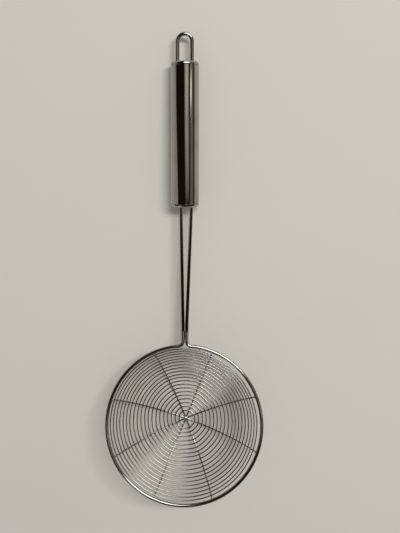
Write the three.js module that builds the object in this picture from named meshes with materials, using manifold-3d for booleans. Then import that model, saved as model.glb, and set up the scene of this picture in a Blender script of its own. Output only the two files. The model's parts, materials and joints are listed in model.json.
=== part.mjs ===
// A wire skimmer lying on a table: the bowl opens upwards and the handle runs along +Y.
// It rests on two spokes under the bowl and on the far end of its handle.

import * as THREE from 'three';
import { mergeVertices } from 'three/addons/utils/BufferGeometryUtils.js';
import Module from 'manifold-3d';

const wasm = await Module();
wasm.setup();

// Driving dimensions, in millimetres

const CLEARANCE = 0.3; // gap between pieces that are welded or pushed together

const RIM_DIAMETER = 142; // across the outside of the rim
const FRAME_WIRE = 3.2; // wire of the rim and its two legs
const NECK_BEND_RADIUS = 4.4; // where the rim turns out into the neck, at the wire's centre
const NECK_LENGTH = 9.3; // straight stretch where the two legs lie side by side
const HANDLE_RISE = 11; // degrees that the legs and the handle rise from the rim's plane
const LEG_LENGTH = 113; // from the neck to the face of the handle
const LEGS_TOGETHER = 6; // how far they still lie side by side above the neck
const LEFT_LEG_OFFSET = 3.5; // where the left leg goes into the handle, from its axis
const RIGHT_LEG_OFFSET = 5.9; // the same for the right leg, which spreads more
const LEG_TAIL = 9; // length of each leg inside the handle

const BOWL_DEPTH = 34.6; // from the rim's centre down to the spiral in the middle of the bowl
const SPIRAL_WIRE = 1.1;
const SPIRAL_TURNS = 19.5;
const EYE_RADIUS = 5.9; // where the spiral starts
const EYE_STRAIGHTNESS = 0.4; // how far the first loop runs straight from spoke to spoke
const START_SPOKE = 6; // the spoke that the spiral starts on
const SPOKE_WIRE = 1.3;
const SPOKE_ANGLES = [21.5, 68.5, 114, 162, 205, 247.5, 292, 340.5]; // degrees, uneven as set by hand
const SPOKE_GAP = 0.4; // between the closest spokes where they meet the hub weld
const HUB_EDGE = 0.4; // rounding of the hub weld
const HUB_FOOT = 0.3; // how far the hub weld stands below the spokes
const HUB_CROWN = 0.4; // how far it stands above them

const HANDLE_DIAMETER = 25;
const HANDLE_WALL = 0.8;
const HANDLE_LENGTH = 128.5; // over both end caps
const CAP_THICKNESS = 3; // the part of an end cap that shows
const CAP_CORNER = 2.5; // rounding of its edge
const CAP_SKIRT_LENGTH = 5; // the part inside the tube
const CAP_SKIRT_WALL = 1.5;
const LOOP_WIRE = 3.6;
const LOOP_INSET = 6.1; // from the outside of the handle in to the centre of each leg of the loop
const LOOP_HEIGHT = 25.9; // from the face of the handle to the top of the loop
const LOOP_TAIL = 9; // length of each leg inside the handle

// Facets

const FRAME_SIDES = 10;
const RIM_STEPS = 72;
const BEND_STEPS = 6;
const SPIRAL_SIDES = 6;
const SPIRAL_STEPS = 24; // for each turn
const SPOKE_SIDES = 8;
const SPOKE_STEPS = 14;
const HANDLE_SIDES = 32;
const CORNER_STEPS = 4;
const HUB_SIDES = 24;
const HOLE_SIDES = 16;
const LOOP_STEPS = 16;

// Heights and places that follow from these sizes

const FULL_TURN = 2 * Math.PI;
const SPOKE_COUNT = SPOKE_ANGLES.length;
const SPOKE_SPACING = FULL_TURN / SPOKE_COUNT; // on average
const CLOSEST_SPOKES = Math.min(...SPOKE_ANGLES.map((angle, i) => {
  const next = SPOKE_ANGLES[(i + 1) % SPOKE_COUNT];
  return THREE.MathUtils.degToRad(THREE.MathUtils.euclideanModulo(next - angle, 360));
}));
const RIM_RADIUS = (RIM_DIAMETER - FRAME_WIRE) / 2;
const SPIRAL_TO_SPOKE = SPIRAL_WIRE / 2 + CLEARANCE + SPOKE_WIRE / 2;
const SPOKE_START_RADIUS = (SPOKE_WIRE + SPOKE_GAP) / (2 * Math.sin(CLOSEST_SPOKES / 2));
const HUB_RADIUS = SPOKE_START_RADIUS - CLEARANCE;
const HUB_ROUNDING = Math.min(HUB_EDGE, SPOKE_WIRE / 2);
const CAP_ROUNDING = Math.min(CAP_CORNER, CAP_THICKNESS);
const LOOP_RADIUS = HANDLE_DIAMETER / 2 - LOOP_INSET;
const RIM_HEIGHT = BOWL_DEPTH + SPIRAL_TO_SPOKE + SPOKE_WIRE / 2 + HUB_FOOT;

// The spiral lies on a sphere that is BOWL_DEPTH deep where the wire ends against the inside of the rim.
const SPIRAL_EDGE_RADIUS = RIM_RADIUS - FRAME_WIRE / 2 - CLEARANCE - SPIRAL_WIRE / 2;
const BOWL_RADIUS = (SPIRAL_EDGE_RADIUS ** 2 + BOWL_DEPTH ** 2) / (2 * BOWL_DEPTH);
const BOWL_CENTRE_HEIGHT = RIM_HEIGHT - BOWL_DEPTH + BOWL_RADIUS;

// The neck stands on the rim between two tight bends.
const NECK_OFFSET = (FRAME_WIRE + CLEARANCE) / 2;
const BEND_CENTRE_X = NECK_OFFSET + NECK_BEND_RADIUS;
const BEND_CENTRE_Y = Math.sqrt((RIM_RADIUS + NECK_BEND_RADIUS) ** 2 - BEND_CENTRE_X ** 2);
const NECK_END_Y = BEND_CENTRE_Y + NECK_LENGTH;

// From the neck the handle rises, seen with the rim level.
const RISE = THREE.MathUtils.degToRad(HANDLE_RISE);

// The whole skimmer then tips until the round edge of the handle's far end is as low as the bowl's spokes.
const SPOKE_SPHERE = BOWL_RADIUS + SPIRAL_TO_SPOKE;
const EDGE_REACH = LEG_LENGTH + HANDLE_LENGTH - CAP_ROUNDING;
const EDGE_DROP = (HANDLE_DIAMETER / 2 - CAP_ROUNDING) * Math.cos(Math.PI / HANDLE_SIDES);
const EDGE_Y = NECK_END_Y + EDGE_REACH * Math.cos(RISE) + EDGE_DROP * Math.sin(RISE);
const EDGE_HEIGHT = RIM_HEIGHT + EDGE_REACH * Math.sin(RISE) - EDGE_DROP * Math.cos(RISE);
const EDGE_BELOW_CENTRE = BOWL_CENTRE_HEIGHT - EDGE_HEIGHT;
const REST_TILT = Math.asin(
  (SPOKE_SPHERE + SPOKE_WIRE / 2 - CAP_ROUNDING) / Math.hypot(EDGE_BELOW_CENTRE, EDGE_Y),
) - Math.atan2(EDGE_BELOW_CENTRE, EDGE_Y);

// A path through given points, for wires that are bent in arcs and straight between them
class WirePath extends THREE.Curve {
  constructor(points) {
    super();
    this.points = points;
  }

  getPointAt(share, target = new THREE.Vector3()) {
    return target.copy(this.points[this.indexAt(share)]);
  }

  getTangentAt(share, target = new THREE.Vector3()) {
    const index = this.indexAt(share);
    target.set(0, 0, 0);
    if (index > 0) target.add(this.direction(index - 1));
    if (index < this.points.length - 1) target.add(this.direction(index));
    return target.normalize();
  }

  indexAt(share) {
    return Math.round(share * (this.points.length - 1));
  }

  direction(index) {
    return this.points[index + 1].clone().sub(this.points[index]).normalize();
  }
}

function onlyPositions(geometry) {
  geometry.deleteAttribute('normal');
  geometry.deleteAttribute('uv');
  return mergeVertices(geometry);
}

function wire(points, diameter, sides) {
  const corners = Array.from({ length: sides }, (_, i) => {
    const angle = (i + 0.5) * FULL_TURN / sides;
    return new THREE.Vector2(Math.cos(angle), Math.sin(angle)).multiplyScalar(diameter / 2);
  });
  return onlyPositions(new THREE.ExtrudeGeometry(new THREE.Shape(corners), {
    steps: points.length - 1,
    extrudePath: new WirePath(points),
    bevelEnabled: false,
  }));
}

// A turned shape about the handle's axis, with a flat facet towards the table
function turned(profile, sides) {
  return onlyPositions(new THREE.LatheGeometry(profile, sides, Math.PI / sides));
}

function solid(geometry) {
  return new wasm.Manifold(new wasm.Mesh({
    numProp: 3,
    vertProperties: new Float32Array(geometry.getAttribute('position').array),
    triVerts: new Uint32Array(geometry.index.array),
  }));
}

function geometryOf(manifold) {
  const mesh = manifold.getMesh();
  const geometry = new THREE.BufferGeometry();
  geometry.setAttribute('position', new THREE.BufferAttribute(mesh.vertProperties, 3));
  geometry.setIndex(new THREE.BufferAttribute(mesh.triVerts, 1));
  return geometry;
}

const polished = { color: 0xb9b6b1, metalness: 1, roughness: 0.12 };
const drawn = { color: 0xa9a6a1, metalness: 1, roughness: 0.22 };
const welded = { color: 0x97938d, metalness: 1, roughness: 0.4 };

function piece(name, geometry, finish) {
  const mesh = new THREE.Mesh(geometry, new THREE.MeshStandardMaterial(finish));
  mesh.name = name;
  return mesh;
}

// Points along an arc in the rim's plane
function rimArc(centreX, centreY, radius, from, to, steps) {
  return Array.from({ length: steps + 1 }, (_, i) => {
    const angle = THREE.MathUtils.lerp(from, to, i / steps);
    const x = centreX + radius * Math.cos(angle);
    const y = centreY + radius * Math.sin(angle);
    return new THREE.Vector3(x, y, RIM_HEIGHT);
  });
}

// A point beside the handle's axis, at a distance from the neck along it
function besideHandle(offset, distance) {
  return new THREE.Vector3(
    offset,
    NECK_END_Y + distance * Math.cos(RISE),
    RIM_HEIGHT + distance * Math.sin(RISE),
  );
}

// The frame is one wire: down the left leg, round the rim and up the right leg.
function frameWire() {
  const bendAngle = Math.atan2(BEND_CENTRE_Y, BEND_CENTRE_X);
  const leg = (offset, side) => [
    besideHandle(side * offset, LEG_LENGTH + LEG_TAIL),
    besideHandle(side * offset, LEG_LENGTH),
    besideHandle(side * NECK_OFFSET, LEGS_TOGETHER),
    besideHandle(side * NECK_OFFSET, 0),
  ];
  const leftBend = rimArc(-BEND_CENTRE_X, BEND_CENTRE_Y, NECK_BEND_RADIUS, 0, -bendAngle, BEND_STEPS);
  const rim = rimArc(0, 0, RIM_RADIUS, Math.PI - bendAngle, FULL_TURN + bendAngle, RIM_STEPS);
  const rightBend = rimArc(
    BEND_CENTRE_X, BEND_CENTRE_Y, NECK_BEND_RADIUS, Math.PI + bendAngle, Math.PI, BEND_STEPS,
  );
  return [
    ...leg(LEFT_LEG_OFFSET, -1),
    ...leftBend,
    ...rim.slice(1, -1),
    ...rightBend,
    ...leg(RIGHT_LEG_OFFSET, 1).reverse(),
  ];
}

// A point on the bowl or on a larger sphere about the same centre
function onBowl(radius, tilt, angle) {
  const reach = radius * Math.sin(tilt);
  return new THREE.Vector3(
    reach * Math.cos(angle),
    reach * Math.sin(angle),
    BOWL_CENTRE_HEIGHT - radius * Math.cos(tilt),
  );
}

function spokeAngle(index) {
  return THREE.MathUtils.degToRad(SPOKE_ANGLES[index]);
}

// The spiral starts on a spoke and grows clockwise, seen from above.
// Its loops sag towards straight lines about midway between spokes, most of all in the eye.
function spiralPoints() {
  const start = spokeAngle(START_SPOKE - 1);
  const firstTilt = Math.asin(EYE_RADIUS / BOWL_RADIUS);
  const lastTilt = Math.atan2(SPIRAL_EDGE_RADIUS, BOWL_RADIUS - BOWL_DEPTH);
  const steps = Math.round(SPIRAL_TURNS * SPIRAL_STEPS);
  return Array.from({ length: steps + 1 }, (_, i) => {
    const share = i / steps;
    const swept = share * SPIRAL_TURNS * FULL_TURN;
    const pastSpoke = swept % SPOKE_SPACING;
    const chord = Math.cos(SPOKE_SPACING / 2) / Math.cos(SPOKE_SPACING / 2 - pastSpoke);
    const straightness = EYE_STRAIGHTNESS * (1 - share) ** 2;
    const tilt = THREE.MathUtils.lerp(firstTilt, lastTilt, share);
    return onBowl(BOWL_RADIUS, tilt * THREE.MathUtils.lerp(1, chord, straightness), start - swept);
  });
}

// Least gap between two places on the spiral that are at least half a turn apart
function leastGap(points) {
  let least = Infinity;
  points.forEach((point, i) => {
    points.slice(i + SPIRAL_STEPS / 2).forEach((other) => {
      least = Math.min(least, point.distanceTo(other));
    });
  });
  return least - SPIRAL_WIRE;
}

// A spoke runs under the spiral from the hub weld until its end meets the rim.
function spokePoints(index) {
  const rimBelowCentre = BOWL_RADIUS - BOWL_DEPTH;
  const rimDistance = Math.hypot(RIM_RADIUS, rimBelowCentre);
  const innerTilt = Math.asin(SPOKE_START_RADIUS / SPOKE_SPHERE);
  const outerTilt = Math.atan2(RIM_RADIUS, rimBelowCentre)
    - Math.asin((FRAME_WIRE / 2 + CLEARANCE) / rimDistance);
  return Array.from({ length: SPOKE_STEPS + 1 }, (_, i) => {
    const tilt = THREE.MathUtils.lerp(innerTilt, outerTilt, i / SPOKE_STEPS);
    return onBowl(SPOKE_SPHERE, tilt, spokeAngle(index));
  });
}

// Corner of a turned profile, as a quarter circle
function quarter(centreX, centreY, radius, from) {
  return Array.from({ length: CORNER_STEPS + 1 }, (_, i) => {
    const angle = from + (i / CORNER_STEPS) * Math.PI / 2;
    return new THREE.Vector2(centreX + radius * Math.cos(angle), centreY + radius * Math.sin(angle));
  });
}

// The hub weld is a pressed nugget with a flat underside and a low crown.
function hubWeld() {
  const shoulder = HUB_FOOT + SPOKE_WIRE;
  const edge = HUB_RADIUS - HUB_ROUNDING;
  return turned([
    new THREE.Vector2(0, 0),
    ...quarter(edge, HUB_ROUNDING, HUB_ROUNDING, -Math.PI / 2),
    ...quarter(edge, shoulder - HUB_ROUNDING, HUB_ROUNDING, 0),
    new THREE.Vector2(0, shoulder + HUB_CROWN),
  ], HUB_SIDES);
}

// The tube stops short of the two caps, which sit on its ends.
function handleTube() {
  const outer = HANDLE_DIAMETER / 2;
  const inner = outer - HANDLE_WALL;
  const end = CAP_THICKNESS + CLEARANCE;
  const profile = [
    new THREE.Vector2(inner, end),
    new THREE.Vector2(outer, end),
    new THREE.Vector2(outer, HANDLE_LENGTH - end),
    new THREE.Vector2(inner, HANDLE_LENGTH - end),
    new THREE.Vector2(inner, end),
  ];
  return turned(profile, HANDLE_SIDES);
}

// An end cap, with its face at height 0 and its skirt inside the tube, and a hole for each wire
function endCap(wireDiameter, offsets) {
  const outer = HANDLE_DIAMETER / 2;
  const skirt = outer - HANDLE_WALL - CLEARANCE;
  const skirtEnd = CAP_THICKNESS + CAP_SKIRT_LENGTH;
  let cap = solid(turned([
    new THREE.Vector2(0, 0),
    ...quarter(outer - CAP_ROUNDING, CAP_ROUNDING, CAP_ROUNDING, -Math.PI / 2),
    new THREE.Vector2(outer, CAP_THICKNESS),
    new THREE.Vector2(skirt, CAP_THICKNESS),
    new THREE.Vector2(skirt, skirtEnd),
    new THREE.Vector2(skirt - CAP_SKIRT_WALL, skirtEnd),
    new THREE.Vector2(skirt - CAP_SKIRT_WALL, CAP_THICKNESS),
    new THREE.Vector2(0, CAP_THICKNESS),
  ], HANDLE_SIDES));
  const holeRadius = wireDiameter / 2 + CLEARANCE;
  offsets.forEach((offset) => {
    const hole = new THREE.CylinderGeometry(holeRadius, holeRadius, 2 * skirtEnd, HOLE_SIDES);
    hole.translate(offset, 0, 0);
    cap = cap.subtract(solid(onlyPositions(hole)));
  });
  return geometryOf(cap);
}

// The hanging loop goes up from one leg, round the top and down into the cap again.
function loopPoints() {
  const shoulder = HANDLE_LENGTH + LOOP_HEIGHT - LOOP_WIRE / 2 - LOOP_RADIUS;
  const tail = HANDLE_LENGTH - LOOP_TAIL;
  const top = Array.from({ length: LOOP_STEPS + 1 }, (_, i) => {
    const angle = (i / LOOP_STEPS) * Math.PI;
    return new THREE.Vector3(LOOP_RADIUS * Math.cos(angle), shoulder + LOOP_RADIUS * Math.sin(angle), 0);
  });
  return [new THREE.Vector3(LOOP_RADIUS, tail, 0), ...top, new THREE.Vector3(-LOOP_RADIUS, tail, 0)];
}

// The head: frame, spiral, spokes and hub weld

const skimmer = new THREE.Group();
skimmer.add(piece('frame_wire', wire(frameWire(), FRAME_WIRE, FRAME_SIDES), drawn));

const spiral = spiralPoints();
console.log(`spiral_wire: least gap to itself ${leastGap(spiral).toFixed(2)} mm`);
skimmer.add(piece('spiral_wire', wire(spiral, SPIRAL_WIRE, SPIRAL_SIDES), drawn));

for (let index = 0; index < SPOKE_COUNT; index += 1) {
  skimmer.add(piece(`spoke_${index + 1}`, wire(spokePoints(index), SPOKE_WIRE, SPOKE_SIDES), drawn));
}

const hub = piece('hub_weld', hubWeld(), welded);
hub.rotation.x = Math.PI / 2;
skimmer.add(hub);

// The handle: its own +Y runs from the lower cap's face to the loop

const handle = new THREE.Group();
handle.position.copy(besideHandle(0, LEG_LENGTH));
handle.rotation.x = RISE;
skimmer.add(handle);

handle.add(piece('handle_tube', handleTube(), polished));
handle.add(piece('lower_end_cap', endCap(FRAME_WIRE, [-LEFT_LEG_OFFSET, RIGHT_LEG_OFFSET]), polished));

const upperCap = piece('upper_end_cap', endCap(LOOP_WIRE, [-LOOP_RADIUS, LOOP_RADIUS]), polished);
upperCap.position.y = HANDLE_LENGTH;
upperCap.rotation.x = Math.PI;
handle.add(upperCap);

handle.add(piece('hanging_loop', wire(loopPoints(), LOOP_WIRE, FRAME_SIDES), drawn));

// The skimmer lies on its spokes and its far end, with its origin on the table under its middle.
skimmer.rotation.x = -REST_TILT;
const box = new THREE.Box3().setFromObject(skimmer, true);
const middle = box.getCenter(new THREE.Vector3());
skimmer.position.set(-middle.x, -middle.y, -box.min.z);

export default skimmer;
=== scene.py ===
import json
import math

import bmesh
import bpy
from mathutils import Matrix, Vector


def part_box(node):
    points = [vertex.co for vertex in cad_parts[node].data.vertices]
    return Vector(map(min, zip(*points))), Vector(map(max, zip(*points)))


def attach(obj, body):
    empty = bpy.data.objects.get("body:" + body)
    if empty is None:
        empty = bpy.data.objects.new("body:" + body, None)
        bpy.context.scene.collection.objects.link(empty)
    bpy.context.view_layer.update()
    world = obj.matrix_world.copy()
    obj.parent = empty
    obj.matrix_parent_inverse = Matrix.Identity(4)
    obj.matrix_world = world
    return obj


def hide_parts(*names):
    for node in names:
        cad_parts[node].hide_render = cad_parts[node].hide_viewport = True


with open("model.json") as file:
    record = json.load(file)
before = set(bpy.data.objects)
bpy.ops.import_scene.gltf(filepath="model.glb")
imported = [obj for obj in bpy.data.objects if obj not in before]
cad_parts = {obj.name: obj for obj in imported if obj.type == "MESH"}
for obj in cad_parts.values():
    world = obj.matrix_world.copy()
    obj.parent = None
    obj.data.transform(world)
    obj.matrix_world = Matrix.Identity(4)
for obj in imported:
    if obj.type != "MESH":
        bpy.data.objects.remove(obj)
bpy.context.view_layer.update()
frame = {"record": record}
scene = bpy.context.scene
scene.view_settings.view_transform = "Standard"


# Spokes
# Eight thin stainless wires curve up from the middle of the bowl to the rim and carry the spiral.
# Each is drawn wire, cut and bent to the bowl's curve. They were set by hand, so their angles are uneven.

MM = 0.001
FULL_TURN = 2 * math.pi
WELD_GAP = 0.3 * MM
RIM_DIAMETER = 142 * MM
FRAME_WIRE = 3.2 * MM
BOWL_DEPTH = 34.6 * MM
SPIRAL_WIRE = 1.1 * MM
SPOKE_WIRE = 1.3 * MM
SPOKE_ANGLES = [math.radians(angle) for angle in (21.5, 68.5, 114, 162, 205, 247.5, 292, 340.5)]
SPOKE_STEPS = 48
THIN_WIRE_SIDES = 12
SPOKE_ROOT = 0.9 * MM  # distance from the bowl's axis at which a spoke ends inside the hub weld
DIE_LINES_ALONG = 90  # cells of the pattern in a metre of wire
DIE_LINES_AROUND = 9
PATCH_SCALE = 240
PATCH_RANGE = (0.42, 0.7)  # levels of the noise between which a dull patch comes in
PATCH_SHARE = 0.45  # part that the patches have in the wear and in the heat tint
HEAT_ROUGHNESS = 0.12  # added where the wire was welded

# In the head's own frame the rim is level and its centre is the origin.
rest = next(mount for mount in frame["record"]["mounts"] if mount["name"] == "bowl_rest")
HEAD_TILT = math.atan2(-rest["axis"][1], -rest["axis"][2])
RIM_RADIUS = (RIM_DIAMETER - FRAME_WIRE) / 2
frame_low, frame_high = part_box("frame_wire")
rim_y = frame_low.y + FRAME_WIRE / 2 + RIM_RADIUS * math.cos(HEAD_TILT)
rim_z = frame_high.z - FRAME_WIRE / 2 - RIM_RADIUS * math.sin(HEAD_TILT)
head_place = Matrix.Translation((0, rim_y, rim_z)) @ Matrix.Rotation(-HEAD_TILT, 4, "X")

SPIRAL_EDGE_RADIUS = RIM_RADIUS - FRAME_WIRE / 2 - WELD_GAP - SPIRAL_WIRE / 2
BOWL_RADIUS = (SPIRAL_EDGE_RADIUS ** 2 + BOWL_DEPTH ** 2) / (2 * BOWL_DEPTH)
BOWL_CENTRE_HEIGHT = BOWL_RADIUS - BOWL_DEPTH
SPOKE_SPHERE = BOWL_RADIUS + SPIRAL_WIRE / 2 + WELD_GAP + SPOKE_WIRE / 2
RIM_TILT = math.atan2(RIM_RADIUS, BOWL_CENTRE_HEIGHT)
RIM_DISTANCE = math.hypot(RIM_RADIUS, BOWL_CENTRE_HEIGHT)
SPOKE_END_TILT = RIM_TILT - math.asin((FRAME_WIRE / 2 - WELD_GAP) / RIM_DISTANCE)


class Signal:
    """One output of a node. Sums on it add Math nodes, and node() adds any other node."""

    def __init__(self, tree, output=None):
        self.tree = tree
        self.output = output

    @staticmethod
    def pick(sockets, name):
        if isinstance(name, int):
            return sockets[name]
        return next(socket for socket in sockets if socket.enabled and socket.name == name)

    def node(self, kind, settings=None, inputs=None):
        made = self.tree.nodes.new(kind)
        for name, value in (settings or {}).items():
            if name == "stops":
                self.set_stops(made.color_ramp, value)
            else:
                setattr(made, name, value)
        for name, value in (inputs or {}).items():
            socket = self.pick(made.inputs, name)
            if isinstance(value, Signal):
                self.tree.links.new(value.output, socket)
            else:
                socket.default_value = value
        shown = [output for output in made.outputs if output.enabled]
        return Signal(self.tree, shown[0] if shown else None)

    @staticmethod
    def set_stops(ramp, stops):
        for stop in stops[2:]:
            ramp.elements.new(stop[0])
        for element, (place, level) in zip(ramp.elements, stops):
            element.position = place
            element.color = (level, level, level, 1)

    def out(self, name):
        return Signal(self.tree, self.pick(self.output.node.outputs, name))

    def maths(self, operation, *values):
        return self.node("ShaderNodeMath", {"operation": operation}, dict(enumerate(values)))

    def vector(self, operation, *values):
        return self.node("ShaderNodeVectorMath", {"operation": operation}, dict(enumerate(values)))

    def __add__(self, other):
        return self.maths("ADD", self, other)

    def __sub__(self, other):
        return self.maths("SUBTRACT", self, other)

    def __rsub__(self, other):
        return self.maths("SUBTRACT", other, self)

    def __mul__(self, other):
        return self.maths("MULTIPLY", self, other)

    def __truediv__(self, other):
        return self.maths("DIVIDE", self, other)

    __radd__ = __add__
    __rmul__ = __mul__


def ramped(value, low, high):
    """0 where a value is at or under low and 1 where it is at or over high, eased between them."""
    sockets = {"Value": value, "From Min": low, "From Max": high}
    return value.node("ShaderNodeMapRange", {"interpolation_type": "SMOOTHSTEP"}, sockets)


def mixed(share, first, second):
    """A colour between two, at a share of the second."""
    return share.node("ShaderNodeMix", {"data_type": "RGBA"}, {"Factor": share, "A": first, "B": second})


def noise(place, scale, detail):
    """Soft random levels about one half, with the given number of finer layers."""
    sockets = {"Vector": place, "Scale": scale, "Detail": detail}
    return place.node("ShaderNodeTexNoise", {}, sockets).out("Fac")


def finish_steel(start, colour, roughness, height, depth):
    """Ends a steel's nodes: bare metal with a fine relief of the given depth."""
    relief = start.node("ShaderNodeBump", {}, {"Distance": depth, "Height": height})
    sockets = {"Base Color": colour, "Metallic": 1.0, "Roughness": roughness, "Normal": relief}
    steel = start.node("ShaderNodeBsdfPrincipled", {}, sockets)
    steel.node("ShaderNodeOutputMaterial", {}, {"Surface": steel})


def new_finish(name):
    material = bpy.data.materials.new(name)
    material.use_nodes = True
    material.node_tree.nodes.clear()
    return material, Signal(material.node_tree)


def drawn_wire(name, bright, dull, heat_tint, smoothest, roughest, line_depth):
    """Wire pulled through a die: lines along it, duller patches, a straw tint where it was welded."""
    material, start = new_finish(name)
    along = start.node("ShaderNodeAttribute", {"attribute_name": "along"}).out("Fac")
    section = start.node("ShaderNodeAttribute", {"attribute_name": "section"}).out("Vector")
    heat = start.node("ShaderNodeAttribute", {"attribute_name": "heat"}).out("Fac")
    place = start.node("ShaderNodeTexCoord").out("Object")
    lengthwise = start.node("ShaderNodeCombineXYZ", {}, {"Z": along * DIE_LINES_ALONG})
    around = section.vector("MULTIPLY_ADD", section, (DIE_LINES_AROUND,) * 3, lengthwise)
    lines = noise(around, 1.0, detail=4.0)
    patches = ramped(noise(place, PATCH_SCALE, detail=3.0), *PATCH_RANGE)
    steel = mixed(patches, bright, dull)
    tinted = mixed(heat * (1 - PATCH_SHARE + PATCH_SHARE * patches), steel, heat_tint)
    wear = (1 - PATCH_SHARE) * lines + PATCH_SHARE * patches
    roughness = smoothest + (roughest - smoothest) * wear + HEAT_ROUGHNESS * heat
    finish_steel(start, tinted, roughness, lines, line_depth)
    return material


thin_wire_steel = drawn_wire(
    "thin_wire_steel",
    bright=(0.42, 0.395, 0.36, 1),
    dull=(0.35, 0.325, 0.295, 1),
    heat_tint=(0.27, 0.2, 0.13, 1),
    smoothest=0.08,
    roughest=0.22,
    line_depth=0.006 * MM,
)


def geometry_tree(name, sockets):
    """An empty tree with named inputs, as the signal of its first input."""
    tree = bpy.data.node_groups.new(name, "GeometryNodeTree")
    for label, kind in sockets.items():
        tree.interface.new_socket(label, in_out="INPUT", socket_type="NodeSocket" + kind)
    tree.interface.new_socket("Geometry", in_out="OUTPUT", socket_type="NodeSocketGeometry")
    return Signal(tree).node("NodeGroupInput")


def marked_points(name, mark, values):
    """Loose points for a tree to put in their places, each by the value that it is marked with."""
    mesh = bpy.data.meshes.new(name)
    mesh.from_pydata([(0, 0, 0)] * len(values), [], [])
    mesh.attributes.new(mark, "FLOAT", "POINT").data.foreach_set("value", values)
    return mesh


def marked_with(given, mark):
    return given.node("GeometryNodeInputNamedAttribute", {"data_type": "FLOAT"}, {"Name": mark})


def stored(geometry, name, kind, value):
    settings = {"data_type": kind, "domain": "POINT"}
    sockets = {"Geometry": geometry, "Name": name, "Value": value}
    return geometry.node("GeometryNodeStoreNamedAttribute", settings, sockets)


def placed(geometry, position):
    return geometry.node("GeometryNodeSetPosition", {}, {"Geometry": geometry, "Position": position})


def swept_wire(path, diameter, sides):
    """A round wire along a path of edges. It keeps its own length and section for its finish."""
    curve = path.node("GeometryNodeMeshToCurve", {}, {"Mesh": path})
    length = curve.node("GeometryNodeSplineParameter").out("Length")
    curve = stored(curve, "along", "FLOAT", length)
    sockets = {"Resolution": sides, "Radius": diameter / 2}
    ring = curve.node("GeometryNodeCurvePrimitiveCircle", {"mode": "RADIUS"}, sockets)
    spot = ring.node("GeometryNodeInputPosition")
    ring = stored(ring, "section", "FLOAT_VECTOR", spot.vector("NORMALIZE", spot))
    sockets = {"Curve": curve, "Profile Curve": ring, "Fill Caps": True}
    body = curve.node("GeometryNodeCurveToMesh", {}, sockets)
    return body.node("GeometryNodeSetShadeSmooth", {}, {"Geometry": body})


def close_tree(geometry, given):
    """Ends a tree: its copies become real and get their material."""
    real = geometry.node("GeometryNodeRealizeInstances", {}, {"Geometry": geometry})
    sockets = {"Geometry": real, "Material": given.out("Material")}
    coated = real.node("GeometryNodeSetMaterial", {}, sockets)
    coated.node("NodeGroupOutput", {}, {"Geometry": coated})


def grown(name, given, values, place, start):
    """Runs a tree on a mesh with the given values and keeps what it makes as a plain mesh in its place."""
    piece = bpy.data.objects.new(name, start)
    scene.collection.objects.link(piece)
    modifier = piece.modifiers.new("Tree", "NODES")
    modifier.node_group = given.tree
    for item in given.tree.interface.items_tree:
        if item.name in values:
            modifier[item.identifier] = values[item.name]
    shapes = bpy.context.evaluated_depsgraph_get()
    made = bpy.data.meshes.new_from_object(
        piece.evaluated_get(shapes), preserve_all_data_layers=True, depsgraph=shapes
    )
    piece.modifiers.remove(modifier)
    made.transform(place)
    made.name = name
    piece.data = made
    return piece


def on_sphere(radius, tilt, angle):
    """The place at a tilt and an angle on a sphere about the bowl's centre, in a tree."""
    reach = radius * tilt.maths("SINE", tilt)
    return tilt.node("ShaderNodeCombineXYZ", {}, {
        "X": reach * angle.maths("COSINE", angle),
        "Y": reach * angle.maths("SINE", angle),
        "Z": BOWL_CENTRE_HEIGHT - radius * tilt.maths("COSINE", tilt),
    })


spokes_tree = geometry_tree("spokes", {
    "Roots": "Geometry",
    "Steps": "Int",
    "Sphere": "Float",
    "Root tilt": "Float",
    "End tilt": "Float",
    "Wire": "Float",
    "Sides": "Int",
    "Material": "Material",
})
step = spokes_tree.node("GeometryNodeInputIndex") / spokes_tree.out("Steps")
root_tilt = spokes_tree.out("Root tilt")
spoke_tilt = root_tilt + (spokes_tree.out("End tilt") - root_tilt) * step
spoke_line = spokes_tree.node("GeometryNodeMeshLine", {}, {"Count": spokes_tree.out("Steps") + 1})
no_turn = spoke_tilt * 0  # the one spoke that is copied lies at an angle of zero
spoke_path = placed(spoke_line, on_sphere(spokes_tree.out("Sphere"), spoke_tilt, no_turn))
one_spoke = swept_wire(spoke_path, spokes_tree.out("Wire"), spokes_tree.out("Sides"))
spoke_turn = marked_with(spokes_tree, "turn")
all_spokes = spokes_tree.node("GeometryNodeInstanceOnPoints", {}, {
    "Points": spokes_tree.out("Roots"),
    "Instance": one_spoke,
    "Rotation": spoke_turn.node("ShaderNodeCombineXYZ", {}, {"Z": spoke_turn}),
})
close_tree(all_spokes, spokes_tree)

spokes = grown("bowl_spokes", spokes_tree, {
    "Steps": SPOKE_STEPS,
    "Sphere": SPOKE_SPHERE,
    "Root tilt": math.asin(SPOKE_ROOT / SPOKE_SPHERE),
    "End tilt": SPOKE_END_TILT,
    "Wire": SPOKE_WIRE,
    "Sides": THIN_WIRE_SIDES,
    "Material": thin_wire_steel,
}, head_place, marked_points("spoke_roots", "turn", SPOKE_ANGLES))
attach(spokes, "root")
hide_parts(*(f"spoke_{number + 1}" for number in range(len(SPOKE_ANGLES))))


# Hub weld
# The eight spokes meet in one nugget of melted steel, pressed flat underneath.
# It swells a little along each spoke where the metal ran, and its top leans as the press left it.
# Melted and cooled in air, it is duller and browner than the wires.

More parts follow.
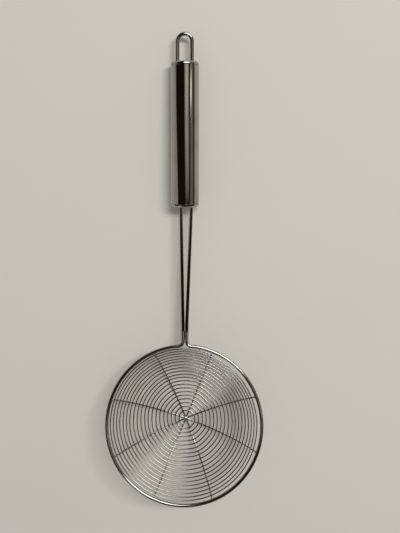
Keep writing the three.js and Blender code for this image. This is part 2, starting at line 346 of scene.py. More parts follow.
HUB_RADIUS = 2.2 * MM
HUB_FOOT_RADIUS = 1.7 * MM
HUB_HEIGHT = 2 * MM
HUB_FOOT = 0.3 * MM  # how far it stands below the spokes
HUB_SHOULDER = 0.35  # power of the curve of its top, fuller when smaller
HUB_LOBE = 0.24  # share by which it swells along a spoke
HUB_LOBE_SHARPNESS = 24
HUB_LEAN = (0.1, 0.17)  # how steeply its top falls to the right and towards the handle
HUB_SEGMENTS = 96
HUB_PROFILE_STEPS = 14
MERGE_DISTANCE = 0.0005 * MM
SHARP_EDGE = math.radians(40)
WELD_RIPPLE_SCALE = 1900
WELD_RIPPLE_DEPTH = 0.08 * MM
WELD_HEAT_SCALE = 700
WELD_STRAW_RANGE = (0.35, 0.75)  # levels of the noise between which the straw colour comes in
WELD_BROWN_RANGE = (0.5, 1.0)  # levels of the straw between which it turns brown
WELD_ROUGHNESS = (0.3, 0.55)


def turned(name, profile, segments, material, place=Matrix.Identity(4)):
    """A closed shape from a profile of radius and height, turned about its Z axis and put in its place."""
    shape = bmesh.new()
    corners = [shape.verts.new((radius, 0, height)) for radius, height in profile]
    edges = [shape.edges.new(pair) for pair in zip(corners, corners[1:])]
    if profile[0][0] > 0:
        edges.append(shape.edges.new((corners[-1], corners[0])))
    bmesh.ops.spin(
        shape, geom=corners + edges, axis=(0, 0, 1), cent=(0, 0, 0), angle=FULL_TURN, steps=segments
    )
    bmesh.ops.remove_doubles(shape, verts=shape.verts, dist=MERGE_DISTANCE)
    bmesh.ops.recalc_face_normals(shape, faces=shape.faces)
    mesh = bpy.data.meshes.new(name)
    shape.to_mesh(mesh)
    shape.free()
    mesh.transform(place)
    mesh.shade_smooth()
    mesh.set_sharp_from_angle(angle=SHARP_EDGE)
    mesh.materials.append(material)
    piece = bpy.data.objects.new(name, mesh)
    scene.collection.objects.link(piece)
    return piece


def weld_finish(name, grey, straw, brown):
    """Steel that was melted: rippled and dull, with straw and brown heat colours in patches."""
    material, start = new_finish(name)
    place = start.node("ShaderNodeTexCoord").out("Object")
    ripples = noise(place, WELD_RIPPLE_SCALE, detail=3.0)
    heat = ramped(noise(place, WELD_HEAT_SCALE, detail=2.0), *WELD_STRAW_RANGE)
    colour = mixed(ramped(heat, *WELD_BROWN_RANGE), mixed(heat, grey, straw), brown)
    smoothest, roughest = WELD_ROUGHNESS
    roughness = smoothest + (roughest - smoothest) * ripples
    finish_steel(start, colour, roughness, ripples, WELD_RIPPLE_DEPTH)
    return material


weld_steel = weld_finish(
    "weld_steel",
    grey=(0.42, 0.395, 0.365, 1),
    straw=(0.37, 0.315, 0.235, 1),
    brown=(0.27, 0.22, 0.175, 1),
)

hub_profile = [(0, 0), (HUB_FOOT_RADIUS, 0)]
for number in range(1, HUB_PROFILE_STEPS):
    swing = math.pi * number / HUB_PROFILE_STEPS
    bulge = HUB_FOOT_RADIUS + (HUB_RADIUS - HUB_FOOT_RADIUS) * math.sin(swing)
    hub_profile.append((
        bulge * math.cos(swing / 2) ** HUB_SHOULDER,
        HUB_HEIGHT * (1 - math.cos(swing)) / 2,
    ))
hub_profile.append((0, HUB_HEIGHT))
hub = turned("hub_nugget", hub_profile, HUB_SEGMENTS, weld_steel)
for vertex in hub.data.vertices:
    bearing = math.atan2(vertex.co.y, vertex.co.x)
    toward_spoke = max(math.cos(bearing - angle) for angle in SPOKE_ANGLES) ** HUB_LOBE_SHARPNESS
    waist = math.sin(math.pi * min(1, vertex.co.z / HUB_HEIGHT))
    vertex.co.z *= 1 - vertex.co.xy.dot(HUB_LEAN) / HUB_HEIGHT
    vertex.co.xy = vertex.co.xy * (1 + HUB_LOBE * toward_spoke * waist)
hub_bottom = BOWL_CENTRE_HEIGHT - SPOKE_SPHERE - SPOKE_WIRE / 2 - HUB_FOOT
hub.data.transform(head_place @ Matrix.Translation((0, 0, hub_bottom)))
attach(hub, "root")
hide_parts("hub_weld")


# Spiral
# One thin stainless wire, wound in nineteen and a half loops from the eye of the bowl out to the rim.
# Its loops sag a little between the spokes that they are welded to, and wander slightly as wound wire does.

SPIRAL_TURNS = 19.5
EYE_RADIUS = 5.9 * MM
EYE_STRAIGHTNESS = 0.4  # how far the loops at the eye run straight from spoke to spoke
START_SPOKE = 6
SPIRAL_STEPS = 96  # for each turn
SPIRAL_WANDER = 0.16 * MM
SLOW_WANDER = 0.83  # waves in a turn
SLOW_WANDER_START = 1.7
QUICK_WANDER = 2.37
QUICK_WANDER_SHARE = 0.7
HEAT_REACH = 1.5 * MM  # how far the tint of a weld spreads along the wire

SPIRAL_START = SPOKE_ANGLES[START_SPOKE - 1]
SPIRAL_SWEEP = SPIRAL_TURNS * FULL_TURN
first_crossings = [(SPIRAL_START - angle) % FULL_TURN for angle in SPOKE_ANGLES]
crossings = []  # as shares of the whole sweep
for turn in range(math.ceil(SPIRAL_TURNS)):
    swept_to = [turn * FULL_TURN + swept for swept in first_crossings]
    crossings += [swept / SPIRAL_SWEEP for swept in swept_to if swept <= SPIRAL_SWEEP]


def on_spiral(given, share):
    """The spiral's rule in a tree: its place at a share of its turns, its tilt and its angle."""
    swept = share * SPIRAL_SWEEP
    between = (1 - swept.maths("COSINE", swept * len(SPOKE_ANGLES))) / 2
    sag = given.out("Straightness") * (1 - math.cos(math.pi / len(SPOKE_ANGLES))) * between
    slow = swept.maths("SINE", swept * SLOW_WANDER + SLOW_WANDER_START)
    drift = slow + QUICK_WANDER_SHARE * swept.maths("SINE", swept * QUICK_WANDER)
    first = given.out("First tilt")
    even = first + (given.out("Last tilt") - first) * share
    settled = share * (1 - share) * 4
    tilt = even * (1 - sag * (1 - share) * (1 - share)) + given.out("Wander") * drift * settled
    angle = SPIRAL_START - swept
    return on_sphere(given.out("Sphere"), tilt, angle), tilt, angle


spiral_tree = geometry_tree("spiral", {
    "Crossings": "Geometry",
    "Steps": "Int",
    "Sphere": "Float",
    "First tilt": "Float",
    "Last tilt": "Float",
    "Straightness": "Float",
    "Wander": "Float",
    "Heat reach": "Float",
    "Wire": "Float",
    "Sides": "Int",
    "Material": "Material",
})
spiral_share = spiral_tree.node("GeometryNodeInputIndex") / spiral_tree.out("Steps")
spiral_line = spiral_tree.node("GeometryNodeMeshLine", {}, {"Count": spiral_tree.out("Steps") + 1})
spiral_path = placed(spiral_line, on_spiral(spiral_tree, spiral_share)[0])
welded_place = on_spiral(spiral_tree, marked_with(spiral_tree, "share"))[0]
welded_spots = placed(spiral_tree.out("Crossings"), welded_place)
nearest = welded_spots.node("GeometryNodeProximity", {"target_element": "POINTS"}, {0: welded_spots})
warmth = 1 - ramped(nearest.out("Distance"), 0, spiral_tree.out("Heat reach"))
spiral_path = stored(spiral_path, "heat", "FLOAT", warmth)
close_tree(swept_wire(spiral_path, spiral_tree.out("Wire"), spiral_tree.out("Sides")), spiral_tree)

spiral_sizes = {
    "Sphere": BOWL_RADIUS,
    "First tilt": math.asin(EYE_RADIUS / BOWL_RADIUS),
    "Last tilt": math.atan2(SPIRAL_EDGE_RADIUS, BOWL_CENTRE_HEIGHT),
    "Straightness": EYE_STRAIGHTNESS,
    "Wander": SPIRAL_WANDER / BOWL_RADIUS,
}
spiral = grown("wound_spiral", spiral_tree, spiral_sizes | {
    "Steps": round(SPIRAL_TURNS * SPIRAL_STEPS),
    "Heat reach": HEAT_REACH,
    "Wire": SPIRAL_WIRE,
    "Sides": THIN_WIRE_SIDES,
    "Material": thin_wire_steel,
}, head_place, marked_points("heated_spots", "share", crossings))
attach(spiral, "root")
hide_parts("spiral_wire")


# Crossing welds
# Wherever the spiral crosses a spoke the two wires are spot welded, which leaves a nugget between them.
# It is steel from both wires, melted by the current and pressed. All eight to a loop differ a little.

NUGGET = (0.68 * MM, 0.72 * MM, 0.55 * MM)  # half sizes along the spoke, along the loop and in depth
NUGGET_SPREAD = (0.8, 1.15)  # smallest and largest, beside the usual one
NUGGET_DETAIL = 2
NUGGET_SEED = 4


def scaled(vector, factor):
    """A vector times a number that differs from place to place."""
    return factor.node("ShaderNodeVectorMath", {"operation": "SCALE"}, {0: vector, "Scale": factor})


def nuggets_at(given, points, tilt, angle):
    """Drops of weld on points of the bowl, turned with its curve and uneven in size, in a tree."""
    drop = given.node("GeometryNodeMeshIcoSphere", {}, {"Radius": 1.0, "Subdivisions": NUGGET_DETAIL})
    drop = drop.node("GeometryNodeSetShadeSmooth", {}, {"Geometry": drop})
    smallest, largest = NUGGET_SPREAD
    sockets = {"Min": smallest, "Max": largest, "Seed": given.out("Seed")}
    uneven = given.node("FunctionNodeRandomValue", {"data_type": "FLOAT"}, sockets)
    return given.node("GeometryNodeInstanceOnPoints", {}, {
        "Points": points,
        "Instance": drop,
        "Rotation": given.node("ShaderNodeCombineXYZ", {}, {"Y": tilt * -1, "Z": angle}),
        "Scale": scaled(given.out("Nugget"), uneven),
    })


crossings_tree = geometry_tree("crossing_welds", {
    "Crossings": "Geometry",
    "Sphere": "Float",
    "First tilt": "Float",
    "Last tilt": "Float",
    "Straightness": "Float",
    "Wander": "Float",
    "Nugget": "Vector",
    "Seed": "Int",
    "Material": "Material",
})
crossing_share = marked_with(crossings_tree, "share")
crossing_place, crossing_tilt, crossing_angle = on_spiral(crossings_tree, crossing_share)
crossing_points = placed(crossings_tree.out("Crossings"), crossing_place)
close_tree(nuggets_at(crossings_tree, crossing_points, crossing_tilt, crossing_angle), crossings_tree)

crossing_welds = grown("crossing_welds", crossings_tree, spiral_sizes | {
    "Sphere": BOWL_RADIUS + SPIRAL_WIRE / 2 + WELD_GAP / 2,
    "Nugget": NUGGET,
    "Seed": NUGGET_SEED,
    "Material": weld_steel,
}, head_place, marked_points("crossings", "share", crossings))
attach(crossing_welds, "root")


# Frame wire
# One stainless wire is bent into the left leg, the whole rim and the right leg, without a break.
# It is drawn wire, tumbled bright. Its ends run into the handle, and a tight bend each side makes the neck.

NECK_BEND_RADIUS = 4.4 * MM
NECK_LENGTH = 9.3 * MM
LEG_LENGTH = 113 * MM
LEGS_TOGETHER = 6 * MM  # how far they still lie side by side above the neck
LEFT_LEG_OFFSET = 3.5 * MM
RIGHT_LEG_OFFSET = 5.9 * MM
LEG_TAIL = 9 * MM  # length inside the handle
LEG_BEND_REACH = 2.5 * MM  # length over which a leg turns at each of its corners
HANDLE_RISE = math.radians(11)  # from the rim's plane
FRAME_SIDES = 24
RIM_STEPS = 288
BEND_STEPS = 14

NECK_OFFSET = (FRAME_WIRE + WELD_GAP) / 2
BEND_CENTRE_X = NECK_OFFSET + NECK_BEND_RADIUS
BEND_CENTRE_Y = math.sqrt((RIM_RADIUS + NECK_BEND_RADIUS) ** 2 - BEND_CENTRE_X ** 2)
NECK_END_Y = BEND_CENTRE_Y + NECK_LENGTH


def arc(centre, radius, start, end, steps):
    """Points along an arc in the rim's plane."""
    angles = [start + (end - start) * number / steps for number in range(steps + 1)]
    return [centre + radius * Vector((math.cos(angle), math.sin(angle), 0)) for angle in angles]


def eased(before, corner, after, reach, steps):
    """Points round a corner, as a curve that starts and ends at a reach from it."""
    start = corner + (before - corner).normalized() * reach
    end = corner + (after - corner).normalized() * reach
    shares = [number / steps for number in range(steps + 1)]
    return [start.lerp(corner, share).lerp(corner.lerp(end, share), share) for share in shares]


def beside_handle(offset, distance):
    """A place beside the handle's axis, at a distance along it from the neck."""
    return Vector((
        offset,
        NECK_END_Y + distance * math.cos(HANDLE_RISE),
        distance * math.sin(HANDLE_RISE),
    ))


def leg(side, offset):
    """From inside the handle down to the neck, on the left for a side of -1 and on the right for 1."""
    corners = [
        beside_handle(side * offset, LEG_LENGTH + LEG_TAIL),
        beside_handle(side * offset, LEG_LENGTH),
        beside_handle(side * NECK_OFFSET, LEGS_TOGETHER),
        beside_handle(side * NECK_OFFSET, 0),
        Vector((side * NECK_OFFSET, BEND_CENTRE_Y, 0)),
    ]
    points = corners[:1]
    for before, corner, after in zip(corners, corners[1:], corners[2:]):
        points += eased(before, corner, after, LEG_BEND_REACH, BEND_STEPS)
    return points


def path_mesh(name, points):
    mesh = bpy.data.meshes.new(name)
    mesh.from_pydata(points, [(number, number + 1) for number in range(len(points) - 1)], [])
    return mesh


frame_wire_steel = drawn_wire(
    "frame_wire_steel",
    bright=(0.42, 0.39, 0.355, 1),
    dull=(0.36, 0.33, 0.3, 1),
    heat_tint=(0.28, 0.21, 0.14, 1),
    smoothest=0.05,
    roughest=0.15,
    line_depth=0.005 * MM,
)

bend_angle = math.atan2(BEND_CENTRE_Y, BEND_CENTRE_X)
left_bend = Vector((-BEND_CENTRE_X, BEND_CENTRE_Y, 0))
right_bend = Vector((BEND_CENTRE_X, BEND_CENTRE_Y, 0))
frame_points = [
    *leg(-1, LEFT_LEG_OFFSET),
    *arc(left_bend, NECK_BEND_RADIUS, 0, -bend_angle, BEND_STEPS),
    *arc(Vector(), RIM_RADIUS, math.pi - bend_angle, FULL_TURN + bend_angle, RIM_STEPS)[1:-1],
    *arc(right_bend, NECK_BEND_RADIUS, math.pi + bend_angle, math.pi, BEND_STEPS),
    *reversed(leg(1, RIGHT_LEG_OFFSET)),
]

wire_tree = geometry_tree("wire_along_path", {
    "Path": "Geometry",
    "Wire": "Float",
    "Sides": "Int",
    "Material": "Material",
})
close_tree(swept_wire(wire_tree.out("Path"), wire_tree.out("Wire"), wire_tree.out("Sides")), wire_tree)

rim_frame = grown("rim_frame", wire_tree, {
    "Wire": FRAME_WIRE,
    "Sides": FRAME_SIDES,
    "Material": frame_wire_steel,
}, head_place, path_mesh("frame_path", frame_points))
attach(rim_frame, "root")
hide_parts("frame_wire")


# Rim welds
# Each spoke ends under the rim in a drop of weld, larger than those on the spiral.
# It is melted steel that joins the cut end of the spoke to the underside of the rim.

RIM_NUGGET = (0.95 * MM, 1.15 * MM, 0.9 * MM)  # half sizes along the spoke, along the rim and in depth
RIM_NUGGET_SEED = 9

rim_welds_tree = geometry_tree("rim_welds", {
    "Ends": "Geometry",
    "Sphere": "Float",
    "Tilt": "Float",
    "Nugget": "Vector",
    "Seed": "Int",
    "Material": "Material",
})
end_tilt = rim_welds_tree.out("Tilt")
end_turn = marked_with(rim_welds_tree, "turn")
end_places = on_sphere(rim_welds_tree.out("Sphere"), end_tilt, end_turn)
end_points = placed(rim_welds_tree.out("Ends"), end_places)
close_tree(nuggets_at(rim_welds_tree, end_points, end_tilt, end_turn), rim_welds_tree)

rim_welds = grown("rim_welds", rim_welds_tree, {
    "Sphere": SPOKE_SPHERE - SPOKE_WIRE / 4,
    "Tilt": RIM_TILT - math.asin(FRAME_WIRE / 2 / RIM_DISTANCE),
    "Nugget": RIM_NUGGET,
    "Seed": RIM_NUGGET_SEED,
    "Material": weld_steel,
}, head_place, marked_points("spoke_ends", "turn", SPOKE_ANGLES))
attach(rim_welds, "root")


# Neck weld
# A bead of weld in the groove under the two legs holds them together where they leave the rim.
# It is melted steel, run straight along the groove as far as the bend where the legs rise.

BEAD_WIDTH = 1.5 * MM
BEAD_DROP = 1.1 * MM  # from the middle of the legs down to the middle of the bead
BEAD_START = 1.5 * MM  # past the middle of the bends at the rim
BEAD_SIDES = 16

bead_ends = [Vector((0, y, -BEAD_DROP)) for y in (BEND_CENTRE_Y + BEAD_START, NECK_END_Y)]
neck_weld = grown("neck_weld", wire_tree, {
    "Wire": BEAD_WIDTH,
    "Sides": BEAD_SIDES,
    "Material": weld_steel,
}, head_place, path_mesh("bead_path", bead_ends))
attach(neck_weld, "root")


# Handle tube
# A hollow stainless tube, 25 mm across, cut square at both ends.
# It is polished to a mirror lengthwise, and has hairline scratches and the dull smears of hands.

HANDLE_DIAMETER = 25 * MM
HANDLE_WALL = 0.8 * MM
HANDLE_LENGTH = 128.5 * MM  # over both end caps
CAP_THICKNESS = 3 * MM
TUBE_EDGE = 0.15 * MM
HANDLE_SEGMENTS = 160
POLISH_BRIGHT = (0.41, 0.38, 0.345, 1)
POLISH_DULL = (0.36, 0.33, 0.295, 1)
POLISH_DEPTH = 0.002 * MM
POLISH_LINE_HEIGHT = 0.6  # beside the depth of a scratch
SCRATCH_SLANT = (0.5, 0.35, 0.2)
SCRATCH_SCALE = (2600, 55)  # across and along
SCRATCH_RANGE = (0.7, 0.76)  # levels of the noise between which a scratch comes in
SMEAR_SCALE = (95, 42)
SMEAR_RANGE = (0.45, 0.72)
TUBE_ROUGHNESS = 0.03
TUBE_LINE_ROUGHNESS = 0.04
TUBE_SMEAR_ROUGHNESS = 0.05
TUBE_SCRATCH_ROUGHNESS = 0.1

# In the handle's own frame +Z runs along its axis, from the face of the lower cap.
handle_start = head_place @ beside_handle(0, LEG_LENGTH)
handle_turn = HANDLE_RISE - HEAD_TILT - math.pi / 2
handle_place = Matrix.Translation(handle_start) @ Matrix.Rotation(handle_turn, 4, "X")


def along_handle(start):
    """Coordinates about the handle's axis, with Z along it."""
    sockets = {
        "Vector": start.node("ShaderNodeTexCoord").out("Object"),
        "Location": handle_start,
        "Rotation": (handle_turn, 0, 0),
    }
    return start.node("ShaderNodeMapping", {"vector_type": "TEXTURE"}, sockets)


def stretched(place, across, along):
    """A pattern's coordinates, with its scale across and along the handle."""
    return place.vector("MULTIPLY", place, (across, across, along))


def polished(name, lines_across, lines_along):
    """Mirror polish: fine lines, a few scratches in other directions, smears and a faint warm cast."""
    material, start = new_finish(name)
    place = along_handle(start)
    lines = noise(stretched(place, lines_across, lines_along), 1.0, detail=3.0)
    slanted = start.node("ShaderNodeMapping", {}, {"Vector": place, "Rotation": SCRATCH_SLANT})
    scratches = ramped(noise(stretched(slanted, *SCRATCH_SCALE), 1.0, detail=1.0), *SCRATCH_RANGE)
    smears = ramped(noise(stretched(place, *SMEAR_SCALE), 1.0, detail=4.0), *SMEAR_RANGE)
    colour = mixed(smears, POLISH_BRIGHT, POLISH_DULL)
    marks = TUBE_SMEAR_ROUGHNESS * smears + TUBE_SCRATCH_ROUGHNESS * scratches
    roughness = TUBE_ROUGHNESS + TUBE_LINE_ROUGHNESS * lines + marks
    finish_steel(start, colour, roughness, lines * POLISH_LINE_HEIGHT - scratches, POLISH_DEPTH)
    return material


tube_steel = polished("polished_tube_steel", lines_across=2400, lines_along=26)
tube_outer = HANDLE_DIAMETER / 2
tube_inner = tube_outer - HANDLE_WALL
tube_low = CAP_THICKNESS + WELD_GAP
tube_high = HANDLE_LENGTH - tube_low
tube_profile = [
    (tube_inner, tube_low),
    (tube_outer - TUBE_EDGE, tube_low),
    (tube_outer, tube_low + TUBE_EDGE),
    (tube_outer, tube_high - TUBE_EDGE),
    (tube_outer - TUBE_EDGE, tube_high),
    (tube_inner, tube_high),
]
tube = turned("grip_tube", tube_profile, HANDLE_SEGMENTS, tube_steel, handle_place)
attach(tube, "root")
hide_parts("handle_tube")


# End caps
# A pressed stainless cap closes each end of the tube, with a rounded edge and a skirt pushed inside it.
# Two holes in each let the wires through, and the polish runs round in fine circles.

CAP_CORNER = 2.5 * MM
CAP_SKIRT_LENGTH = 5 * MM
CAP_SKIRT_WALL = 1.5 * MM
CAP_CORNER_STEPS = 10
LOOP_WIRE = 3.6 * MM
LOOP_INSET = 6.1 * MM  # from the side of the handle to the middle of the loop's wire
LOOP_RADIUS = HANDLE_DIAMETER / 2 - LOOP_INSET
HOLE_SIDES = 48
RING_SCALE = 5200
CAP_SMEAR_SCALE = 160
CAP_ROUGHNESS = 0.05
CAP_RING_ROUGHNESS = 0.05
CAP_SMEAR_ROUGHNESS = 0.08


def spun(name):
    """The tube's polish, with its lines in circles about the axis."""
    material, start = new_finish(name)
    place = along_handle(start)
    parts = place.node("ShaderNodeSeparateXYZ", {}, {"Vector": place})
    flat = place.node("ShaderNodeCombineXYZ", {}, {"X": parts.out("X"), "Y": parts.out("Y")})
    reach = flat.vector("LENGTH", flat).out("Value")
    sockets = {"X": reach * RING_SCALE, "Y": parts.out("Z") * RING_SCALE}
    rings = noise(reach.node("ShaderNodeCombineXYZ", {}, sockets), 1.0, detail=2.0)
    smears = ramped(noise(place, CAP_SMEAR_SCALE, detail=4.0), *SMEAR_RANGE)
    colour = mixed(smears, POLISH_BRIGHT, POLISH_DULL)
    roughness = CAP_ROUGHNESS + CAP_RING_ROUGHNESS * rings + CAP_SMEAR_ROUGHNESS * smears
    finish_steel(start, colour, roughness, rings, POLISH_DEPTH)
    return material


cap_steel = spun("polished_cap_steel")
skirt = tube_inner - WELD_GAP
skirt_end = CAP_THICKNESS + CAP_SKIRT_LENGTH
cap_profile = [(0, 0)]
for number in range(CAP_CORNER_STEPS + 1):
    swing = math.pi / 2 * number / CAP_CORNER_STEPS
    cap_profile.append((
        tube_outer - CAP_CORNER * (1 - math.sin(swing)),
        CAP_CORNER * (1 - math.cos(swing)),
    ))
cap_profile += [
    (tube_outer, CAP_THICKNESS - TUBE_EDGE),
    (tube_outer - TUBE_EDGE, CAP_THICKNESS),
    (skirt, CAP_THICKNESS),
    (skirt, skirt_end),
    (skirt - CAP_SKIRT_WALL, skirt_end),
    (skirt - CAP_SKIRT_WALL, CAP_THICKNESS),
    (0, CAP_THICKNESS),
]


def end_cap(name, node, place, wire, offsets):
    """A cap in its place, with a hole for each wire."""
    cap = turned(name, cap_profile, HANDLE_SEGMENTS, cap_steel)
    cutter_shape = bmesh.new()
    half_side = Matrix.Rotation(math.pi / HOLE_SIDES, 4, "Z")  # keeps the holes' corners off the seam
    for offset in offsets:
        bmesh.ops.create_cone(
            cutter_shape, cap_ends=True, segments=HOLE_SIDES, depth=2 * skirt_end,
            radius1=wire / 2 + WELD_GAP, radius2=wire / 2 + WELD_GAP,
            matrix=Matrix.Translation((offset, 0, 0)) @ half_side,
        )
    cutter_mesh = bpy.data.meshes.new(name + "_holes")
    cutter_shape.to_mesh(cutter_mesh)
    cutter_shape.free()
    cutter = bpy.data.objects.new(name + "_holes", cutter_mesh)
    scene.collection.objects.link(cutter)
    drill = cap.modifiers.new("Holes", "BOOLEAN")
    drill.object = cutter
    shapes = bpy.context.evaluated_depsgraph_get()
    drilled = bpy.data.meshes.new_from_object(cap.evaluated_get(shapes))
    cap.modifiers.remove(drill)
    bpy.data.objects.remove(cutter)
    drilled.transform(place)
    drilled.set_sharp_from_angle(angle=SHARP_EDGE)
    cap.data = drilled
    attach(cap, "root")
    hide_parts(node)


end_cap("lower_cap", "lower_end_cap", handle_place, FRAME_WIRE, (-LEFT_LEG_OFFSET, RIGHT_LEG_OFFSET))
far_end = handle_place @ Matrix.Translation((0, 0, HANDLE_LENGTH)) @ Matrix.Rotation(math.pi, 4, "Y")
end_cap("upper_cap", "upper_end_cap", far_end, LOOP_WIRE, (-LOOP_RADIUS, LOOP_RADIUS))


# Hanging loop
# A stainless wire bent to a tall U, whose two ends go through the upper cap and are welded there.
# It hangs the skimmer on a hook.

LOOP_HEIGHT = 25.9 * MM
LOOP_TAIL = 9 * MM  # length inside the handle
LOOP_STEPS = 48

loop_shoulder = HANDLE_LENGTH + LOOP_HEIGHT - LOOP_WIRE / 2 - LOOP_RADIUS
loop_tail = HANDLE_LENGTH - LOOP_TAIL
loop_points = [Vector((LOOP_RADIUS, 0, loop_tail))]
for number in range(LOOP_STEPS + 1):
    swing = math.pi * number / LOOP_STEPS
    loop_points.append(LOOP_RADIUS * Vector((math.cos(swing), 0, math.sin(swing))))
    loop_points[-1].z += loop_shoulder
loop_points.append(Vector((-LOOP_RADIUS, 0, loop_tail)))
loop = grown("hang_loop", wire_tree, {
    "Wire": LOOP_WIRE,
    "Sides": FRAME_SIDES,
    "Material": frame_wire_steel,
}, handle_place, path_mesh("loop_path", loop_points))
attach(loop, "root")
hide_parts("hanging_loop")


# Cap welds
# A thin ring of weld closes the gap round each wire where it goes into a cap.
# It is melted steel, run round from outside, and fixes the legs and the hanging loop to the handle.

COLLAR_WIDTH = 0.8 * MM
COLLAR_STEPS = 48
COLLAR_SIDES = 12
COLLAR_INSET = 0.1 * MM  # how far its middle lies inside the face of the cap

collars_tree = geometry_tree("cap_welds", {
    "Wires": "Geometry",
    "Width": "Float",
    "Steps": "Int",
    "Sides": "Int",
    "Material": "Material",
})
collar_round = collars_tree.node("GeometryNodeCurvePrimitiveCircle", {"mode": "RADIUS"}, {
    "Resolution": collars_tree.out("Steps"),
    "Radius": 1.0,
})
collar_lines = collars_tree.node("GeometryNodeInstanceOnPoints", {}, {
    "Points": collars_tree.out("Wires"),
    "Instance": collar_round,
    "Scale": marked_with(collars_tree, "radius"),
})
collar_lines = collar_lines.node("GeometryNodeRealizeInstances", {}, {"Geometry": collar_lines})
collar_section = collars_tree.node("GeometryNodeCurvePrimitiveCircle", {"mode": "RADIUS"}, {
    "Resolution": collars_tree.out("Sides"),
    "Radius": collars_tree.out("Width") / 2,
})
collars = collar_lines.node("GeometryNodeCurveToMesh", {}, {
    "Curve": collar_lines,
    "Profile Curve": collar_section,
})
close_tree(collars.node("GeometryNodeSetShadeSmooth", {}, {"Geometry": collars}), collars_tree)

collar_high = HANDLE_LENGTH - COLLAR_INSET
collar_spots = [
    (-LEFT_LEG_OFFSET, 0, COLLAR_INSET),
    (RIGHT_LEG_OFFSET, 0, COLLAR_INSET),
    (-LOOP_RADIUS, 0, collar_high),
    (LOOP_RADIUS, 0, collar_high),
]
collar_wires = [FRAME_WIRE, FRAME_WIRE, LOOP_WIRE, LOOP_WIRE]
collar_points = marked_points("wire_ends", "radius", [(wire + WELD_GAP) / 2 for wire in collar_wires])
for vertex, spot in zip(collar_points.vertices, collar_spots):
    vertex.co = spot
cap_welds = grown("cap_welds", collars_tree, {
    "Width": COLLAR_WIDTH,
    "Steps": COLLAR_STEPS,
    "Sides": COLLAR_SIDES,
    "Material": weld_steel,
}, handle_place, collar_points)
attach(cap_welds, "root")


# Floor and light
# A plain pale floor, one wide soft lamp high on the right beyond the handle, and an even fill.
# Polished steel shows what stands round it, and that is a room of its own: dark, with soft grey strips
# along both sides and above, which lean a little, a broad glow beyond the handle and small lights.

FLOOR_SIZE = 60  # so wide that its edges don't show in a low view
FLOOR_COLOUR = (0.565, 0.54, 0.485, 1)
FLOOR_SHADE = (0.55, 0.525, 0.47, 1)
FLOOR_CLOUDS = 9.0  # scale of its slight unevenness
FILL_LIGHT = (0.4, 0.4, 0.4, 1)
LAMP_DIRECTION = Vector((0.28, 0.37, 0.885))
LAMP_DISTANCE = 2.5
LAMP_SIZE = (1.25, 0.35)
LAMP_POWER = 46
ROOM_TINT = (1, 0.97, 0.92)
ROOM_DARK = (0.016, 0.009, 0.004)
GLOW_TINT = (0.96, 0.98, 1)

# The strips run along Y. A place across them is in degrees to the right of straight up, and the side
# strips give their level at each. A range along them is in Y.
LEFT_STRIP = [(-90, 0.46), (-78, 0.44), (-70, 0.03), (-62, 0)]
RIGHT_STRIP = [(36, 0), (40, 0.06), (44, 0.06), (50, 0.14), (60, 0.22), (72, 0.18), (77, 0.12), (80, 0)]
SIDE_STRIPS_START = (-0.12, -0.08)
MIDDLE_STRIP_IN = (-2, 8)
MIDDLE_STRIP_OUT = (27, 37)
MIDDLE_LEVEL = 0.46
MIDDLE_SLOPE = 3  # rise of its level to the right, for a full turn
MIDDLE_FADE = (0.65, 4.6)  # share of its level at Y = 0, and the rise of that share along Y
MIDDLE_START = (-0.058, -0.03)
MIDDLE_END = (0.135, 0.15)
MIDDLE_LOSS = 0.6  # share that it loses past its end
LEAN_PIVOT = 55  # degrees, the place across that doesn't shift
LEAN = 0.2  # shift of a strip, as a share of its distance from that place
LEAN_RANGE = (-0.12, 0.09)  # full lean below the first, none above the second
FRONT_LEVEL = 0.18  # an even grey on the bowl's side of the room
FRONT_RANGE = (-0.75, -0.45)

# Each soft light has its level, the X and Y of its middle, and its reach along X and along Y.
GLOW = (7.5, 0.26, 0.61, 0.43, 0.22)
STREAK = (2, 0.81, 0.086, 0.055, 0.03)
OVERHEAD = (0.4, 0, 0.165, 0.16, 0.028)
FAR_LIGHT = (0.9, -0.52, -0.63, 0.2, 0.2)
LIGHT_CORE = 0.3  # share of its area that has its full level

floor_material, floor_start = new_finish("pale_floor")
floor_place = floor_start.node("ShaderNodeTexCoord").out("Object")
floor_tone = mixed(noise(floor_place, FLOOR_CLOUDS, detail=3.0), FLOOR_COLOUR, FLOOR_SHADE)
floor_coat = floor_start.node("ShaderNodeBsdfDiffuse", {}, {"Color": floor_tone})
floor_coat.node("ShaderNodeOutputMaterial", {}, {"Surface": floor_coat})
half = FLOOR_SIZE / 2
floor_corners = [(-half, -half, 0), (half, -half, 0), (half, half, 0), (-half, half, 0)]
floor_mesh = bpy.data.meshes.new("floor")
floor_mesh.from_pydata(floor_corners, [], [(0, 1, 2, 3)])
floor_mesh.materials.append(floor_material)
floor = bpy.data.objects.new("floor", floor_mesh)
scene.collection.objects.link(floor)

lamp_data = bpy.data.lights.new("key_lamp", "AREA")
lamp_data.shape = "RECTANGLE"
lamp_data.size, lamp_data.size_y = LAMP_SIZE
lamp_data.energy = LAMP_POWER
lamp = bpy.data.objects.new("key_lamp", lamp_data)
lamp_back = LAMP_DIRECTION.normalized()
lamp_up = lamp_back.cross(Vector((1, 0, 0))).normalized()
lamp_axes = Matrix((lamp_up.cross(lamp_back), lamp_up, lamp_back)).transposed()
lamp.matrix_world = Matrix.Translation(lamp_back * LAMP_DISTANCE) @ lamp_axes.to_4x4()
lamp.visible_glossy = False
scene.collection.objects.link(lamp)

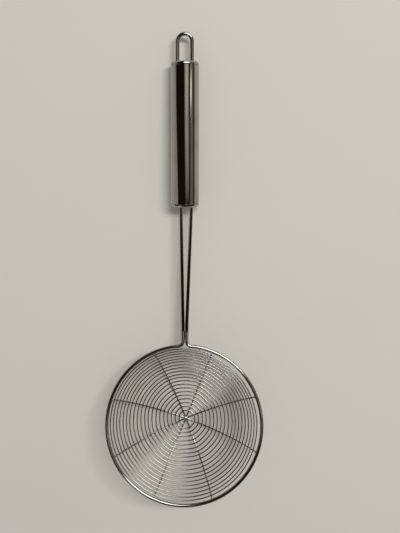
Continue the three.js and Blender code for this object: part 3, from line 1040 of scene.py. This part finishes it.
world = bpy.data.worlds.new("soft_room")
scene.world = world
world.use_nodes = True
world.node_tree.nodes.clear()
world.cycles.sampling_method = "NONE"
room = Signal(world.node_tree)
direction = room.node("ShaderNodeTexCoord").out("Generated")
axes = direction.node("ShaderNodeSeparateXYZ", {}, {"Vector": direction})
along_y = axes.out("Y")
to_right = axes.out("X").maths("ARCTAN2", axes.out("X"), axes.out("Z")) / FULL_TURN + 0.5


def turn_share(degrees):
    """A place across the strips as a share of the full turn, with straight up at one half."""
    return 0.5 + degrees / 360


def soft_light(level, x, y, reach_x, reach_y):
    """A level of light in an oval of directions, eased to none at its edge."""
    across = (axes.out("X") - x) / reach_x
    along = (along_y - y) / reach_y
    return level * (1 - ramped(across * across + along * along, LIGHT_CORE, 1.0))


to_left = turn_share(LEAN_PIVOT) - to_right
lean = LEAN * to_left.maths("MAXIMUM", to_left, 0) * (1 - ramped(along_y, *LEAN_RANGE))
leaning = to_right - lean

strip_stops = [(turn_share(degrees), level) for degrees, level in LEFT_STRIP + RIGHT_STRIP]
side_strips = room.node("ShaderNodeValToRGB", {"stops": strip_stops}, {"Fac": leaning})
side_strips = side_strips * ramped(along_y, *SIDE_STRIPS_START)

middle_in = ramped(leaning, *map(turn_share, MIDDLE_STRIP_IN))
middle_out = ramped(leaning, *map(turn_share, MIDDLE_STRIP_OUT))
middle_strip = (MIDDLE_LEVEL + MIDDLE_SLOPE * (leaning - turn_share(0))) * middle_in * (1 - middle_out)
fade_share, fade_rise = MIDDLE_FADE
middle_fade = fade_share + fade_rise * along_y.maths("MINIMUM", along_y, MIDDLE_END[0])
middle_ends = ramped(along_y, *MIDDLE_START) * (1 - MIDDLE_LOSS * ramped(along_y, *MIDDLE_END))

front = FRONT_LEVEL * (1 - ramped(along_y, *FRONT_RANGE))
small_lights = soft_light(*STREAK) + soft_light(*OVERHEAD) + soft_light(*FAR_LIGHT)
level = side_strips + middle_strip * middle_fade * middle_ends + front + small_lights
lit = scaled(ROOM_TINT, level)
shining = scaled(GLOW_TINT, soft_light(*GLOW))
reflected = lit.vector("ADD", lit, shining.vector("ADD", shining, ROOM_DARK))
path = room.node("ShaderNodeLightPath")
seen = mixed(path.out("Is Glossy Ray"), FILL_LIGHT, reflected)
far_floor = [tone * light for tone, light in zip(FLOOR_COLOUR, FILL_LIGHT)]
seen = mixed(path.out("Is Camera Ray"), seen, far_floor)
sky = room.node("ShaderNodeBackground", {}, {"Color": seen})
sky.node("ShaderNodeOutputWorld", {}, {"Surface": sky})


# Camera
# It stands above the handle and looks down on the skimmer, with the bowl low in the picture.
# Its place, its target and its focal length were fitted to the photograph.

CAMERA_PLACE = Vector((36.8, 132.15, 682)) * MM
CAMERA_TARGET = Vector((13, 58.75, 0)) * MM
PHOTO_HEIGHT = 533
PHOTO_MIDDLE = 200  # row of the picture that the camera faces
FOCAL_PIXELS = 750
SENSOR_WIDTH = 36
CLIP_START = 10 * MM

forward = (CAMERA_TARGET - CAMERA_PLACE).normalized()
right = forward.cross(Vector((0, 1, 0))).normalized()
up = right.cross(forward)
camera_data = bpy.data.cameras.new("camera")
camera_data.sensor_width = SENSOR_WIDTH
camera_data.lens = FOCAL_PIXELS * SENSOR_WIDTH / PHOTO_HEIGHT
camera_data.shift_y = PHOTO_MIDDLE / PHOTO_HEIGHT - 0.5
camera_data.clip_start = CLIP_START
camera = bpy.data.objects.new("camera", camera_data)
camera_axes = Matrix((right, up, -forward)).transposed()
camera.matrix_world = Matrix.Translation(CAMERA_PLACE) @ camera_axes.to_4x4()
scene.collection.objects.link(camera)
scene.camera = camera
